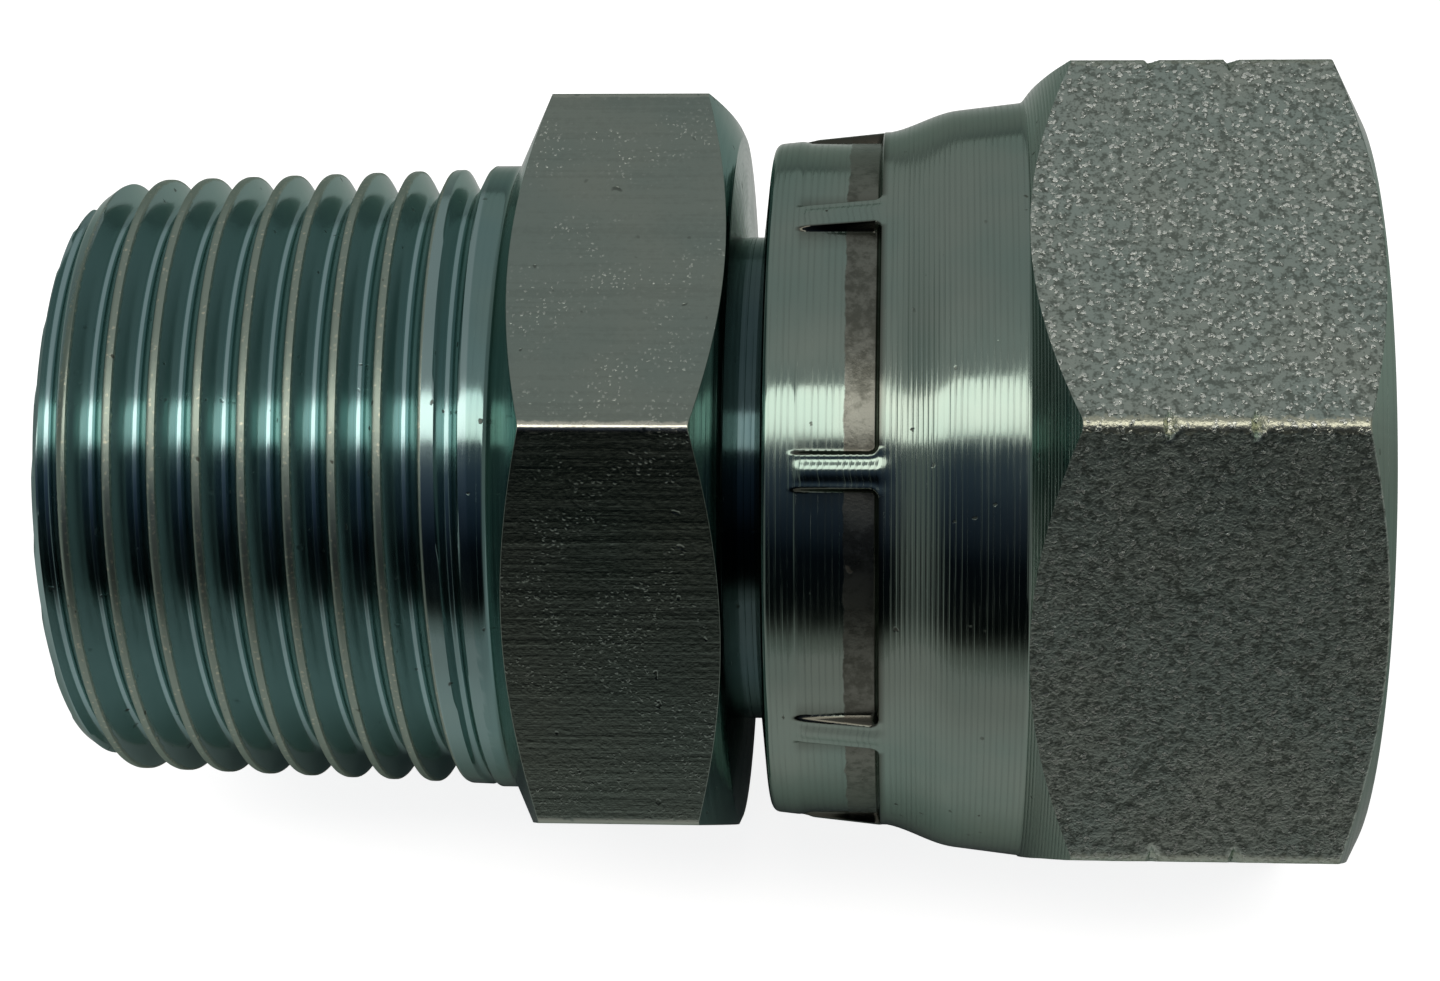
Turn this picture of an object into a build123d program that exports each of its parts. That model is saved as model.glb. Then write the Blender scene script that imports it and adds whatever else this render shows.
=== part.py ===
from build123d import *
from math import atan, ceil, cos, degrees, pi, radians, tan
import os

# Lengths are in millimetres and angles in degrees. The adapter's axis is +X, from the small end of
# the male thread to the mouth of the swivel nut. The origin is on the axis at that small end.

# Tapered male pipe thread, 1 inch size, right-hand, eleven turns to the inch, 55 degree form
thread_pitch = 2.309
thread_depth = 1.479
thread_form_angle = 55.0
thread_root_flat = 0.385
thread_taper = 1 / 16
gauge_diameter = 33.249
gauge_length = 11.4
first_groove_x = 0.534
full_depth_end_x = 20.75
fade_turns = 0.9
cutter_overrun = 0.35
tip_diameter = 30.0
tip_chamfer_length = 1.9

# Plain land behind the thread, and the body's hexagon, turned from hexagon bar
hexagon_sides = 6
threaded_length = 21.9
land_diameter = 34.2
land_length = 1.7
shoulder_round = 0.8
body_across_flats = 38.0
body_hex_length = 12.25
body_corner_round = 0.5
bar_chamfer_angle = 25.0
dish_diameter = 37.4
dish_angle = 3.6

# Neck, retaining bead and 60 degree cone nose, inside the nut
flow_diameter = 20.5
flow_chamfer = 0.4
neck_diameter = 26.4
neck_length = 8.15
neck_round = 0.3
bead_diameter = 29.8
bead_width = 2.6
bead_back_angle = 45.0
nose_diameter = 28.6
nose_step = 0.35
nose_tip_diameter = 23.4
nose_cone_angle = 60.0

# Swivel nut: forged hexagon, turned barrel, and a collar that is crimped in behind the bead
nut_gap = 0.91
nut_length = 31.1
nut_across_flats = 41.0
nut_corner_round = 0.7
collar_diameter = 36.5
collar_lean_angle = 6.4
collar_round = 0.45
crimp_length = 6.4
crimp_rise = 0.6
flare_length = 3.9
flare_diameter = 40.1
barrel_length = 3.4
barrel_diameter = 40.9
hex_back_angle = 36.7
hex_front_angle = 27.0
face_diameter = 40.2

# Inside of the nut: running clearances, chamber over the bead, relief, and the parallel female
# pipe thread's bore, which is plain here at the thread's minor diameter
collar_clearance = 0.15
bead_clearance = 0.35
chamber_diameter = 31.2
relief_diameter = 33.8
relief_length = 4.2
relief_angle = 45.0
female_minor_diameter = 30.291
thread_entry_gap = 0.5
mouth_diameter = 34.0
mouth_chamfer_angle = 45.0

# Marks of the crimping jaws on the collar
jaw_count = 8
jaw_span = 40.0
jaw_first_angle = 12.8
jaw_start = 1.9
jaw_width = 4.5
jaw_corner = 0.5
jaw_face_diameter = 36.55

# Turned identification grooves, which cut only the nut's corners
notch_count = 2
notch_start = 20.0
notch_spacing = 4.05
notch_depth = 0.5
notch_width = 1.1

# Places along the axis, worked out from the lengths above
taper_slope = thread_taper / 2
small_end_radius = gauge_diameter / 2 - gauge_length * taper_slope
shoulder_x = threaded_length + land_length
hex_end_x = shoulder_x + body_hex_length
neck_end_x = hex_end_x + neck_length
bead_x = neck_end_x + (bead_diameter - neck_diameter) / 2 / tan(radians(bead_back_angle))
nose_x = bead_x + bead_width + nose_step
tip_x = nose_x + (nose_diameter - nose_tip_diameter) / 2 / tan(radians(nose_cone_angle / 2))
nut_start_x = hex_end_x + nut_gap
nut_end_x = nut_start_x + nut_length


def turned(points, rounds=()):
    """A solid of revolution about X from (x, radius) points, with some corners of its outline rounded."""
    outline = make_face(Polyline(*points, close=True))
    for corner, radius in rounds:
        outline = fillet(outline.vertices().sort_by_distance(Vector(*corner))[0], radius)
    return revolve(outline, Axis.X)


def corner_reach(across_flats):
    """How far a hexagon's sharp corners are from its centre."""
    return across_flats / 2 / cos(pi / hexagon_sides)


def hexagon_bar(across_flats, corner_round, start_x, end_x):
    """A hexagon bar along X, with two flats facing up and down and its corners slightly rounded."""
    outline = RegularPolygon(across_flats / 2, hexagon_sides, major_radius=False)
    outline = fillet(outline.vertices(), corner_round)
    return extrude(Plane.YZ.offset(start_x) * outline, end_x - start_x)


def helix_on_cone(start_x, radius, length, turns, half_angle, start_angle):
    """A right-hand helix about X on a cone that opens towards +X, in edges of at most one turn each.

    It starts at start_angle past the top, turning from +Z towards -Y.
    """
    count = ceil(turns)
    step_x, step_angle = length / count, 360 * turns / count
    pitch_on_cone = length / turns / cos(radians(half_angle))
    edges = []
    for i in range(count):
        step_radius = radius + i * step_x * tan(radians(half_angle))
        centre = (start_x + i * step_x, 0, 0)
        edge = Edge.make_helix(pitch_on_cone, step_x, step_radius, centre, (1, 0, 0), half_angle)
        edges.append(edge.rotate(Axis.X, start_angle + i * step_angle))
    return edges


def groove_between(curves):
    """A closed solid whose long edges are the given curves, with ruled faces from each to the next."""
    sides = [
        Face.make_surface_from_curves(edge, next_edge)
        for curve, next_curve in zip(curves, curves[1:] + curves[:1])
        for edge, next_edge in zip(curve, next_curve)
    ]
    start = Face(Wire.make_polygon([curve[0] @ 0 for curve in curves], close=True))
    end = Face(Wire.make_polygon([curve[-1] @ 1 for curve in curves], close=True))
    return Solid(Shell(sides + [start, end]))


def thread_grooves():
    """The tapered thread's groove as two solids: at full depth, and fading out as the cutter withdraws."""
    begin_x = first_groove_x - thread_pitch
    full_length = full_depth_end_x - begin_x
    full_turns = full_length / thread_pitch
    fade_length = fade_turns * thread_pitch
    root_radius = small_end_radius - thread_depth + begin_x * taper_slope
    root_end_radius = root_radius + full_length * taper_slope
    fade_rise = land_diameter / 2 + cutter_overrun - root_end_radius
    full_angle = degrees(atan(taper_slope))
    fade_angle = degrees(atan(fade_rise / fade_length))
    half_flat = thread_root_flat / 2
    top = thread_depth + cutter_overrun
    half_top = half_flat + top * tan(radians(thread_form_angle / 2))
    fade_start = 360 * full_turns
    full_curves, fade_curves = [], []
    for across, up in ((-half_flat, 0), (half_flat, 0), (half_top, top), (-half_top, top)):
        x, radius = begin_x + across, root_radius + up
        full_curves.append(helix_on_cone(x, radius, full_length, full_turns, full_angle, 0))
        x, radius = full_depth_end_x + across, root_end_radius + up
        fade_curves.append(helix_on_cone(x, radius, fade_length, fade_turns, fade_angle, fade_start))
    return groove_between(full_curves), groove_between(fade_curves)


def threaded_stem():
    """The blank for the male thread, with its end chamfer, taper and plain land."""
    chamfer_radius = small_end_radius + tip_chamfer_length * taper_slope
    thread_end_radius = small_end_radius + threaded_length * taper_slope
    land_radius = land_diameter / 2
    return turned([
        (0, 0),
        (0, tip_diameter / 2),
        (tip_chamfer_length, chamfer_radius),
        (threaded_length - (land_radius - thread_end_radius), thread_end_radius),
        (threaded_length, land_radius),
        (shoulder_x, land_radius),
        (shoulder_x, 0),
    ])


def body_hexagon():
    """The body's hexagon with a chamfer turned on each end, and a shallow cone on the nut's side."""
    corner_radius = corner_reach(body_across_flats)
    slope = tan(radians(bar_chamfer_angle))
    land_radius, neck_radius, dish_radius = land_diameter / 2, neck_diameter / 2, dish_diameter / 2
    start_x = shoulder_x - land_length / 2
    dish_x = hex_end_x - (dish_radius - neck_radius) * tan(radians(dish_angle))
    outline = [
        (start_x, 0),
        (start_x, land_radius),
        (shoulder_x, land_radius),
        (shoulder_x + (corner_radius - land_radius) * slope, corner_radius),
        (dish_x - (corner_radius - dish_radius) * slope, corner_radius),
        (dish_x, dish_radius),
        (hex_end_x, neck_radius),
        (hex_end_x, 0),
    ]
    bar = hexagon_bar(body_across_flats, body_corner_round, start_x, hex_end_x)
    return bar & turned(outline, [((shoulder_x, land_radius), shoulder_round)])


def nose():
    """The neck that the collar turns on, the bead that keeps the nut, and the sealing cone."""
    neck_radius, bead_radius = neck_diameter / 2, bead_diameter / 2
    outline = [
        (shoulder_x, 0),
        (shoulder_x, neck_radius),
        (neck_end_x, neck_radius),
        (bead_x, bead_radius),
        (bead_x + bead_width, bead_radius),
        (nose_x, nose_diameter / 2),
        (tip_x, nose_tip_diameter / 2),
        (tip_x, 0),
    ]
    return turned(outline, [((neck_end_x, neck_radius), neck_round)])


def adapter_body():
    """The one turned body: male thread, land, hexagon, neck, bead and nose, with a bore right through."""
    flow_radius = flow_diameter / 2
    bore = turned([
        (0, 0),
        (0, flow_radius + flow_chamfer),
        (flow_chamfer, flow_radius),
        (tip_x - flow_chamfer, flow_radius),
        (tip_x, flow_radius + flow_chamfer),
        (tip_x, 0),
    ])
    body = threaded_stem() + body_hexagon() + nose() - bore
    for groove in thread_grooves():
        body -= groove
    return body


def nut_blank():
    """The nut's outside, turned and then cut to its hexagon: collar, flare, barrel and hexagon."""
    corner_radius = corner_reach(nut_across_flats)
    inner_radius, collar_radius = neck_diameter / 2, collar_diameter / 2
    flare_radius, barrel_radius = flare_diameter / 2, barrel_diameter / 2
    rim_x = nut_start_x + (collar_radius - inner_radius) * tan(radians(collar_lean_angle))
    crimp_x, crimp_radius = nut_start_x + crimp_length, collar_radius + crimp_rise
    flare_x = crimp_x + flare_length
    barrel_x = flare_x + barrel_length
    hex_x = barrel_x + (corner_radius - barrel_radius) * tan(radians(hex_back_angle))
    front_x = nut_end_x - (corner_radius - face_diameter / 2) * tan(radians(hex_front_angle))
    collar_direction = (crimp_x - rim_x, crimp_rise)
    barrel_direction = (barrel_length, barrel_radius - flare_radius)
    collar = Polyline((nut_start_x, inner_radius), (rim_x, collar_radius), (crimp_x, crimp_radius))
    flare = Spline(
        (crimp_x, crimp_radius), (flare_x, flare_radius), tangents=(collar_direction, barrel_direction)
    )
    rest = Polyline(
        (flare_x, flare_radius),
        (barrel_x, barrel_radius),
        (hex_x, corner_radius),
        (front_x, corner_radius),
        (nut_end_x, face_diameter / 2),
        (nut_end_x, 0),
        (nut_start_x, 0),
        (nut_start_x, inner_radius),
    )
    outline = make_face([collar, flare, rest])
    rim = outline.vertices().sort_by_distance(Vector(rim_x, collar_radius))[0]
    blank = revolve(fillet(rim, collar_round), Axis.X)
    return blank & hexagon_bar(nut_across_flats, nut_corner_round, nut_start_x, nut_end_x)


def nut_hollow():
    """The space inside the nut: collar bore, cone behind the bead, chamber, relief, thread bore, mouth."""
    collar_radius = neck_diameter / 2 + collar_clearance
    chamber_radius, relief_radius = chamber_diameter / 2, relief_diameter / 2
    minor_radius, mouth_radius = female_minor_diameter / 2, mouth_diameter / 2
    bead_slope = 1 / tan(radians(bead_back_angle))
    seat_x = neck_end_x - bead_clearance + collar_clearance * bead_slope
    chamber_x = seat_x + (chamber_radius - collar_radius) * bead_slope
    relief_slope = 1 / tan(radians(relief_angle))
    thread_x = tip_x + thread_entry_gap
    relief_x = thread_x - relief_length
    mouth_x = nut_end_x - (mouth_radius - minor_radius) / tan(radians(mouth_chamfer_angle))
    return turned([
        (nut_start_x, 0),
        (nut_start_x, collar_radius),
        (seat_x, collar_radius),
        (chamber_x, chamber_radius),
        (relief_x, chamber_radius),
        (relief_x + (relief_radius - chamber_radius) * relief_slope, relief_radius),
        (thread_x - (relief_radius - minor_radius) * relief_slope, relief_radius),
        (thread_x, minor_radius),
        (mouth_x, minor_radius),
        (nut_end_x, mouth_radius),
        (nut_end_x, 0),
    ])


def jaw_marks():
    """The hollows that the crimping jaws press into the collar, each with rounded corners."""
    start_x, end_x = nut_start_x + jaw_start, nut_start_x + jaw_start + jaw_width
    face_radius, outer_radius = jaw_face_diameter / 2, nut_across_flats / 2
    corners = [(start_x, face_radius), (end_x, face_radius), (end_x, outer_radius), (start_x, outer_radius)]
    jaw = revolve(make_face(Polyline(*corners, close=True)), Axis.X, jaw_span)
    jaw = fillet(jaw.edges().filter_by(GeomType.LINE).filter_by(Axis.X, reverse=True), jaw_corner)
    first = jaw_first_angle - jaw_span / 2
    return [jaw.rotate(Axis.X, first + i * 360 / jaw_count) for i in range(jaw_count)]


def corner_notches():
    """Turned V grooves that are just deep enough to nick the hexagon's corners."""
    corner_radius = corner_reach(nut_across_flats)
    grooves = []
    for i in range(notch_count):
        x = nut_start_x + notch_start + i * notch_spacing
        section = [
            (x, corner_radius - notch_depth),
            (x + notch_width, corner_radius + notch_depth),
            (x - notch_width, corner_radius + notch_depth),
        ]
        grooves.append(turned(section))
    return grooves


def swivel_nut():
    """The swivel nut, crimped round the body's neck so that it turns freely behind the bead."""
    nut = nut_blank() - nut_hollow()
    for cut in jaw_marks() + corner_notches():
        nut -= cut
    return nut


def main():
    """Build each piece and write it to a file of its own name."""
    os.makedirs("parts", exist_ok=True)
    for name, piece in (("adapter_body", adapter_body()), ("swivel_nut", swivel_nut())):
        piece.label = name
        export_step(piece, f"parts/{name}.step")
        print(name, "volume", round(piece.volume, 1), "mm3, valid", piece.is_valid)


main()
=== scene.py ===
"""The looks of a straight pipe adapter: a threaded body and the hexagon nut that turns on its nose.

Lengths are in metres in the row frame. The adapter's axis is +X, with the small end of the male thread at
the origin, and angles round the axis are measured from +Y towards +Z.
"""

import logging
import math
from dataclasses import dataclass, field
from enum import Enum
from types import SimpleNamespace
from typing import Any, Optional, Union

import bmesh
import bpy
import numpy as np
from mathutils import Matrix, Vector


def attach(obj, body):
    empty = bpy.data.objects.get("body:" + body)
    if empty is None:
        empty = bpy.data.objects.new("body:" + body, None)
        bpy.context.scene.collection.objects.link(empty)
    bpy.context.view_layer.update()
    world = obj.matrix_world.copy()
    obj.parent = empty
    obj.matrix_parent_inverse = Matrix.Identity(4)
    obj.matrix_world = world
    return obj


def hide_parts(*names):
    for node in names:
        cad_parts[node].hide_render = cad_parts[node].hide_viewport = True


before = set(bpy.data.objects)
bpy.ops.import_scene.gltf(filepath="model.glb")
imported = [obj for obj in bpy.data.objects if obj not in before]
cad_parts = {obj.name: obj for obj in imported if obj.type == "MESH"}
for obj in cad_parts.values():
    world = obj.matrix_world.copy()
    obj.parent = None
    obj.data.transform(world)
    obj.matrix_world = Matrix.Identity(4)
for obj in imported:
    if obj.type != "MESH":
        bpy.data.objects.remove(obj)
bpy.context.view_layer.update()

LOG = logging.getLogger("adapter")
MM = 0.001
WELD = 2e-7
SHARP = math.radians(32)
Colour = tuple[float, float, float]
WHITE = (1.0, 1.0, 1.0, 1.0)
# The metal's tint where it is seen at a low angle.
EDGE_SHEEN: Colour = (0.60, 0.71, 0.655)
# Both hexagons' corner with most wear and painted highlight, and their flat with most painted glints, as
# shares of a turn from +Y towards +Z.
WORN_AND_LIT_CORNER = 1 / 3
LIT_FLAT = 1 / 4


class Zone(Enum):
    """Which of its piece's finishes a stretch of surface shows."""

    TURNED = 0
    FLAT = 1
    NECK = 2


class Side(Enum):
    """Whether a thread is cut into the outside of a stem or the inside of a bore."""

    OUTSIDE = 1.0
    INSIDE = -1.0


class Wire:
    """A node's output that Python's operators turn into Math nodes."""

    def __init__(self, graph: "Graph", socket: bpy.types.NodeSocket) -> None:
        """Remember which graph and socket this is."""
        self.graph = graph
        self.socket = socket

    def beside(self, name: str) -> "Wire":
        """Another output of the same node, by name."""
        return Wire(self.graph, self.socket.node.outputs[name])

    def __add__(self, other: "Value") -> "Wire":
        """This plus other."""
        return self.graph.math("ADD", self, other)

    def __sub__(self, other: "Value") -> "Wire":
        """This minus other."""
        return self.graph.math("SUBTRACT", self, other)

    def __rsub__(self, other: "Value") -> "Wire":
        """Other minus this."""
        return self.graph.math("SUBTRACT", other, self)

    def __mul__(self, other: "Value") -> "Wire":
        """This times other."""
        return self.graph.math("MULTIPLY", self, other)

    def __truediv__(self, other: "Value") -> "Wire":
        """This over other."""
        return self.graph.math("DIVIDE", self, other)

    def __neg__(self) -> "Wire":
        """This with the other sign."""
        return self.graph.math("MULTIPLY", self, -1.0)

    def __abs__(self) -> "Wire":
        """The size of this."""
        return self.graph.math("ABSOLUTE", self)

    __radd__ = __add__
    __rmul__ = __mul__


Value = Union[Wire, float]


class Graph:
    """A node tree that is written as expressions."""

    def __init__(self, tree: bpy.types.NodeTree) -> None:
        """Wrap a tree."""
        self.tree = tree

    def node(self, kind: str, settings: Optional[dict] = None, sockets: Optional[dict] = None) -> Wire:
        """Make any node.

        Args:
            kind: The node's type.
            settings: Its own settings, set first. The key "stops" fills a colour ramp.
            sockets: Values or wires for its inputs, by name or number.

        Returns:
            The node's first output that is in use.
        """
        made = self.tree.nodes.new(kind)
        for name, value in (settings or {}).items():
            if name == "stops":
                self._fill_ramp(made.color_ramp, value)
            else:
                setattr(made, name, value)
        for name, value in (sockets or {}).items():
            socket = self._input(made, name)
            if isinstance(value, Wire):
                self.tree.links.new(value.socket, socket)
            else:
                socket.default_value = value
        live = [socket for socket in made.outputs if socket.enabled]
        return Wire(self, live[0]) if live else None

    @staticmethod
    def _input(node: bpy.types.Node, name: Union[str, int]) -> bpy.types.NodeSocket:
        """The input in use that has this name or number."""
        if isinstance(name, int):
            return node.inputs[name]
        return next(socket for socket in node.inputs if socket.name == name and socket.enabled)

    @staticmethod
    def _fill_ramp(ramp: bpy.types.ColorRamp, stops: list) -> None:
        """Give a ramp its (place, colour) stops, in order."""
        while len(ramp.elements) < len(stops):
            ramp.elements.new(1.0)
        for element, (place, colour) in zip(ramp.elements, stops):
            element.position = place
            element.color = (*colour, 1.0)

    def math(self, operation: str, *values: Value) -> Wire:
        """A Math node on one to three values."""
        return self.node("ShaderNodeMath", {"operation": operation}, dict(enumerate(values)))

    def least(self, first: Value, second: Value) -> Wire:
        """The smaller of two values."""
        return self.math("MINIMUM", first, second)

    def most(self, first: Value, second: Value) -> Wire:
        """The larger of two values."""
        return self.math("MAXIMUM", first, second)

    def ramped(self, value: Value, low: float, high: float) -> Wire:
        """A smooth step between two values, in either order.

        Args:
            value: What is compared with them.
            low: Where the step starts, at 0.
            high: Where it ends, at 1.

        Returns:
            A value from 0 to 1.
        """
        settings = {"interpolation_type": "SMOOTHSTEP"}
        sockets = {"Value": value, "From Min": low, "From Max": high, "To Min": 0.0, "To Max": 1.0}
        if low > high:
            sockets.update({"From Min": high, "From Max": low, "To Min": 1.0, "To Max": 0.0})
        return self.node("ShaderNodeMapRange", settings, sockets)

    def blend(self, factor: Value, first: Any, second: Any) -> Wire:
        """A colour between two.

        Args:
            factor: 0 for the first, 1 for the second.
            first: A colour, as numbers or a wire.
            second: Another one.

        Returns:
            The mixed colour.
        """
        first = (*first, 1.0) if isinstance(first, tuple) else first
        second = (*second, 1.0) if isinstance(second, tuple) else second
        sockets = {0: factor, 6: first, 7: second}
        mixed = self.node("ShaderNodeMix", {"data_type": "RGBA"}, sockets)
        return Wire(self, mixed.socket.node.outputs[2])

    def vector(self, x: Value, y: Value, z: Value) -> Wire:
        """A vector from three values."""
        return self.node("ShaderNodeCombineXYZ", None, {0: x, 1: y, 2: z})

    def split(self, vector: Wire) -> tuple[Wire, Wire, Wire]:
        """A vector's three parts."""
        first = self.node("ShaderNodeSeparateXYZ", None, {0: vector})
        return first, first.beside("Y"), first.beside("Z")

    def noise(self, place: Wire, scale: Value, detail: float = 2.0, roughness: float = 0.5) -> Wire:
        """Smooth noise between 0 and 1 at a place, with the scale in lumps to the metre."""
        sockets = {"Vector": place, "Scale": scale, "Detail": detail, "Roughness": roughness}
        return self.node("ShaderNodeTexNoise", {"noise_dimensions": "3D"}, sockets)


class Rule(Graph):
    """A Geometry Nodes tree with named inputs, which moves a mesh's points and is then applied."""

    def __init__(self, name: str) -> None:
        """Start a tree with a mesh going in and out."""
        super().__init__(bpy.data.node_groups.new(name, "GeometryNodeTree"))
        self.values: dict[str, Any] = {}
        self.tree.interface.new_socket("Mesh", in_out="OUTPUT", socket_type="NodeSocketGeometry")
        self.tree.interface.new_socket("Mesh", in_out="INPUT", socket_type="NodeSocketGeometry")
        self.start = self.tree.nodes.new("NodeGroupInput")

    def size(self, name: str, value: float) -> Wire:
        """A named input of the tree, with the value that its modifier gets."""
        self.tree.interface.new_socket(name, in_out="INPUT", socket_type="NodeSocketFloat")
        self.values[name] = float(value)
        return Wire(self, self.start.outputs[name])

    def sizes(self, owner: Any, *names: str) -> SimpleNamespace:
        """Inputs named and valued as some of a dataclass's fields are."""
        return SimpleNamespace(**{name: self.size(name, getattr(owner, name)) for name in names})

    def mesh(self) -> Wire:
        """The mesh that goes in."""
        return Wire(self, self.start.outputs["Mesh"])

    def round_axis(self) -> tuple[Wire, Wire, Wire]:
        """Each point's place along the axis, its distance from it, and its turn as a share of a circle."""
        x, y, z = self.split(self.node("GeometryNodeInputPosition"))
        radius = self.math("SQRT", y * y + z * z)
        return x, radius, self.math("ARCTAN2", z, y) / math.tau

    def rounded_edge(self, along: Wire, across: Wire, corner: Wire) -> Wire:
        """How far a point lies outside a rectangle with rounded corners.

        Args:
            along: How far it is past the rectangle's end, plus the corner's radius.
            across: How far it is past the rectangle's side, plus the corner's radius.
            corner: The corner's radius.

        Returns:
            The distance, negative inside.
        """
        past_end, past_side = self.most(along, 0.0), self.most(across, 0.0)
        reach = self.math("SQRT", past_end * past_end + past_side * past_side)
        return reach + self.least(self.most(along, across), 0.0) - corner

    def place(self, mesh: Wire, x: Wire, radius: Wire, turn: Wire) -> Wire:
        """Move the mesh's points to places given along and round the axis."""
        angle = turn * math.tau
        place = self.vector(x, radius * self.math("COSINE", angle), radius * self.math("SINE", angle))
        return self.node("GeometryNodeSetPosition", None, {"Geometry": mesh, "Position": place})

    def store(self, mesh: Wire, name: str, value: Wire) -> Wire:
        """Keep a value of each point as a named attribute."""
        settings = {"data_type": "FLOAT", "domain": "POINT"}
        sockets = {"Geometry": mesh, "Name": name, "Value": value}
        return self.node("GeometryNodeStoreNamedAttribute", settings, sockets)

    def apply(self, thing: bpy.types.Object, mesh: Wire, material: bpy.types.Material) -> None:
        """End the tree, run it on an object and keep the result as the object's plain mesh.

        Args:
            thing: The object whose mesh goes in and is replaced.
            mesh: The tree's last wire.
            material: The finish that the whole mesh gets.
        """
        whole = self.node("GeometryNodeRealizeInstances", None, {"Geometry": mesh})
        done = self.node("GeometryNodeSetMaterial", None, {"Geometry": whole, "Material": material})
        end = self.tree.nodes.new("NodeGroupOutput")
        self.tree.links.new(done.socket, end.inputs[0])
        modifier = thing.modifiers.new(self.tree.name, "NODES")
        modifier.node_group = self.tree
        for item in self.tree.interface.items_tree:
            if item.in_out == "INPUT" and item.name in self.values:
                modifier[item.identifier] = self.values[item.name]
        scene_graph = bpy.context.evaluated_depsgraph_get()
        baked = bpy.data.meshes.new_from_object(thing.evaluated_get(scene_graph), depsgraph=scene_graph)
        thing.modifiers.clear()
        thing.data = baked


def hexagon_radius(across_flats: float, corner_round: float, angles: np.ndarray) -> np.ndarray:
    """The radius of a hexagon with rounded corners in each direction.

    Args:
        across_flats: Its size across flats.
        corner_round: The radius of its corners.
        angles: Directions round the axis. A corner is at 0 and a flat faces pi / 2.

    Returns:
        One radius for each direction.
    """
    half = across_flats / 2
    off_corner = np.abs((angles + math.pi / 6) % (math.pi / 3) - math.pi / 6)
    off_flat = math.pi / 6 - off_corner
    centre = (half - corner_round) / math.cos(math.pi / 6)
    reach = math.atan2(corner_round / 2, centre + corner_round * math.cos(math.pi / 6))
    inside = np.maximum(corner_round**2 - (centre * np.sin(off_corner)) ** 2, 0)
    rounded = centre * np.cos(off_corner) + np.sqrt(inside)
    return np.where(off_corner < reach, rounded, half / np.cos(off_flat))


def spread_angles(count: int, places: list) -> np.ndarray:
    """Directions round the axis that lie closer together near some places.

    Args:
        count: How many directions.
        places: (direction, width, closeness): where they lie closer, how far that reaches in radians, and
            how many times closer.

    Returns:
        The directions, rising from 0 to just under a whole turn.
    """
    fine = np.linspace(0, math.tau, 14401)
    density = np.ones_like(fine)
    for place, width, closeness in places:
        off = np.abs((fine - place + math.pi) % math.tau - math.pi)
        density += (closeness - 1) * np.exp(-((off / width) ** 2))
    total = np.concatenate([[0], np.cumsum((density[1:] + density[:-1]) / 2)])
    return np.interp(np.arange(count) / count * total[-1], total, fine)


@dataclass
class Outline:
    """Half a piece's lengthwise section, given at each direction round the axis, from corner to corner."""

    angles: np.ndarray
    support: float = 0.03 * MM
    corners: list = field(default_factory=list)

    def corner(
        self, x: Any, radius: Any, rounding: float = 0.0, steps: int = 4, zone: Zone = Zone.TURNED
    ) -> None:
        """Add a corner.

        Args:
            x: Its place along the axis, one or one for each direction.
            radius: Its distance from the axis, likewise.
            rounding: The radius of the arc that replaces it.
            steps: How many faces that arc has.
            zone: The finish from here to the next corner.
        """
        ones = np.ones_like(self.angles)
        self.corners.append((np.stack([x * ones, radius * ones], 1), rounding, steps, zone))

    def curve(self, points: list, zone: Zone = Zone.TURNED) -> None:
        """Add a row of plain corners."""
        for x, radius in points:
            self.corner(x, radius, zone=zone)

    def rows(self) -> tuple[np.ndarray, list]:
        """Work out the outline's points.

        Returns:
            An array of (row, direction, (x, radius)), and the zone of the strip after each row.
        """
        rows, zones = [], []
        for index, (point, rounding, steps, zone) in enumerate(self.corners):
            inner = 0 < index < len(self.corners) - 1
            if not (rounding and inner):
                rows.append(point)
                zones.append(zone)
                continue
            before, after = self.corners[index - 1][0] - point, self.corners[index + 1][0] - point
            long_before, long_after = (np.linalg.norm(v, axis=1, keepdims=True) for v in (before, after))
            towards, onwards = before / long_before, after / long_after
            half = np.arccos(np.clip((towards * onwards).sum(1, keepdims=True), -1, 1)) / 2
            tangent = np.minimum(rounding / np.tan(half), 0.45 * np.minimum(long_before, long_after))
            radius = tangent * np.tan(half)
            middle = towards + onwards
            centre = point + middle / np.linalg.norm(middle, axis=1, keepdims=True) * radius / np.sin(half)
            first, last = point + towards * tangent - centre, point + onwards * tangent - centre
            sweep = math.pi - 2 * half
            extra = np.minimum(self.support, 0.04 * np.minimum(long_before, long_after))
            rows.append(point + towards * (tangent + extra))
            for step in range(steps + 1):
                share = step / steps
                arc = np.sin((1 - share) * sweep) * first + np.sin(share * sweep) * last
                rows.append(centre + arc / np.sin(sweep))
            rows.append(point + onwards * (tangent + extra))
            zones += [zone if zone is Zone.FLAT else self.corners[index - 1][3]] * (steps + 2) + [zone]
        return np.stack(rows), zones

    def mesh(self, name: str) -> bpy.types.Object:
        """Turn the outline into an object, a strip of faces between each two rows."""
        rows, zones = self.rows()
        count = len(self.angles)
        x, radius = rows[..., 0], rows[..., 1]
        points = np.stack([x, radius * np.cos(self.angles), radius * np.sin(self.angles)], 2).reshape(-1, 3)
        here = np.arange(count)
        there = (here + 1) % count
        strip = np.stack([here, there, there + count, here + count], 1)
        strips = [strip + row * count for row in range(len(rows) - 1)]
        made = mesh_object(name, points, np.concatenate(strips))
        indices = np.repeat([zone.value for zone in zones[: len(rows) - 1]], count)
        made.data.polygons.foreach_set("material_index", indices.astype(np.int32))
        return made


def mesh_object(name: str, points: np.ndarray, faces: np.ndarray) -> bpy.types.Object:
    """Put an object in the scene.

    Args:
        name: Its name.
        points: Its points.
        faces: Its four-sided faces, each as four numbers of points.

    Returns:
        The object.
    """
    mesh = bpy.data.meshes.new(name)
    mesh.from_pydata(points.tolist(), [], faces.tolist())
    made = bpy.data.objects.new(name, mesh)
    bpy.context.scene.collection.objects.link(made)
    return made


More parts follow.
